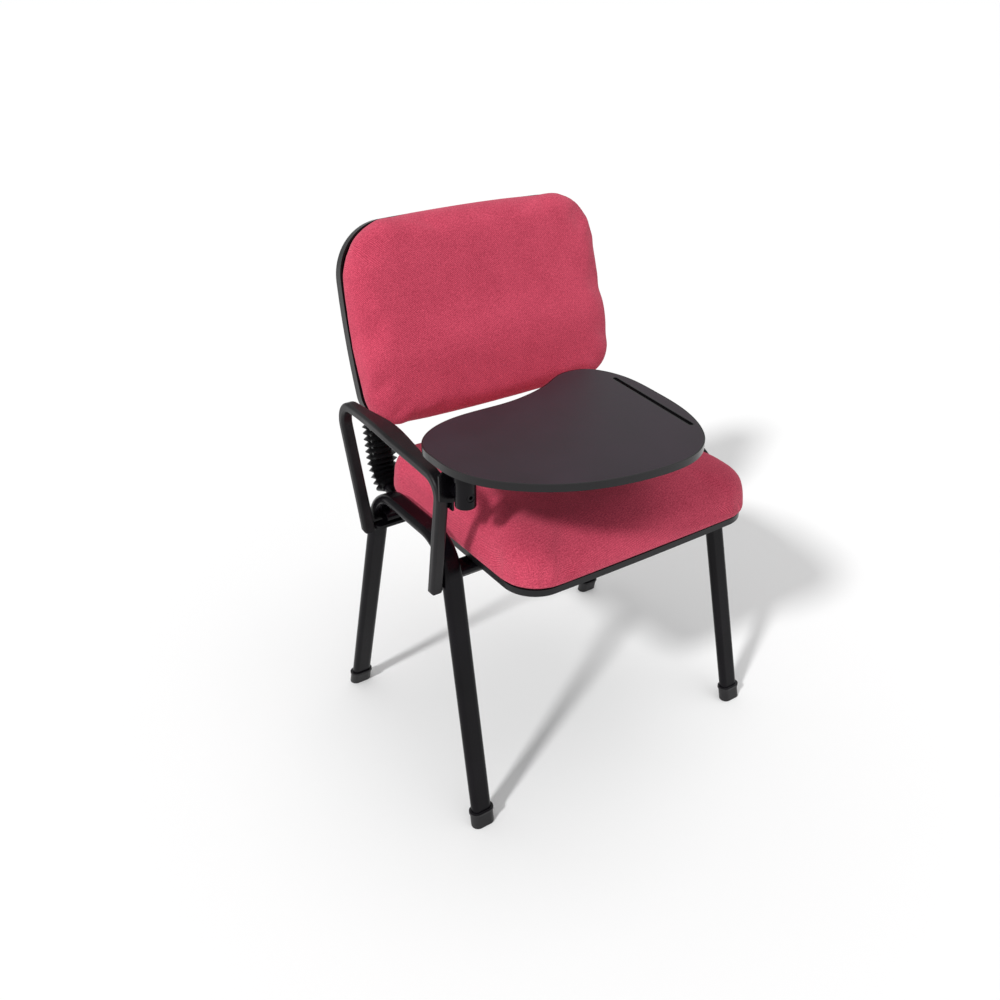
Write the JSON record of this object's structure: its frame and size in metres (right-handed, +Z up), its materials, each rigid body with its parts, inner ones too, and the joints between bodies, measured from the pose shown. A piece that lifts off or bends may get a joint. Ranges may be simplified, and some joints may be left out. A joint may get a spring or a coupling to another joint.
{
  "type": "student desk chair",
  "caption": "Stacking classroom chair with a padded seat and back on flat-oval steel tubes, a loop armrest, and a kidney-shaped writing tablet that swivels and folds down.",
  "frame": {"origin": "on the floor, centred between the four feet", "axes": "+Z up; -Y is the way the sitter faces; +X is the sitter's left, so the armrest and the tablet's pivot are on the -X side"},
  "size_m": [0.5745, 0.6056, 0.8064],
  "materials": {
    "frame_paint": "satin black powder coat",
    "plated_steel": "zinc plated",
    "foot_plastic": "moulded",
    "trim_plastic": "fine grained",
    "bellows_rubber": "glossy",
    "plywood": "raw",
    "cushion_fabric": "woven twill",
    "arm_plastic": "grained",
    "nylon": "turned",
    "tablet_laminate": "satin laminate",
    "tablet_edging": "satin"
  },
  "bodies": {
    "chair": {"arm_bolts": "plated_steel", "arm_strap_front": "frame_paint", "arm_strap_rear": "frame_paint", "armrest_loop": "arm_plastic", "armrest_pad": "arm_plastic", "back_board": "plywood", "back_bolts": "plated_steel", "back_cushion": "cushion_fabric", "back_shell": "trim_plastic", "back_spacers": "trim_plastic", "back_tee_nuts": "plated_steel", "back_upright_left": "frame_paint", "back_upright_right": "frame_paint", "bellows_left": "bellows_rubber", "bellows_right": "bellows_rubber", "bracket_screws": "plated_steel", "foot_cap_front_left": "foot_plastic", "foot_cap_front_right": "foot_plastic", "foot_cap_rear_left": "foot_plastic", "foot_cap_rear_right": "foot_plastic", "front_cross_tube": "frame_paint", "rear_cross_tube": "frame_paint", "seat_board": "plywood", "seat_bolts": "plated_steel", "seat_cushion": "cushion_fabric", "seat_shell": "trim_plastic", "seat_tee_nuts": "plated_steel", "side_frame_left": "frame_paint", "side_frame_right": "frame_paint", "tablet_bracket": "frame_paint", "tilt_nut": "plated_steel", "tilt_pin": "frame_paint", "upright_plugs": "foot_plastic"},
    "hub": {"hub_housing": "frame_paint", "swivel_bush": "nylon"},
    "tablet": {"swivel_shaft": "plated_steel", "tablet_plate": "frame_paint", "plate_screws": "plated_steel", "tablet_board": "tablet_laminate", "tablet_edge_band": "tablet_edging", "pen_tray": "tablet_edging"}
  },
  "joints": [
    {"name": "tablet_tilt", "type": "hinge", "parent": "chair", "child": "hub", "pos_m": [-0.256, -0.16, 0.549], "axis": [0, -1, 0], "range_deg": [0, 90]},
    {"name": "tablet_swivel", "type": "hinge", "parent": "hub", "child": "tablet", "pos_m": [-0.256, -0.167, 0.592], "axis": [0, 0, -1], "range_deg": [0, 180]}
  ]
}
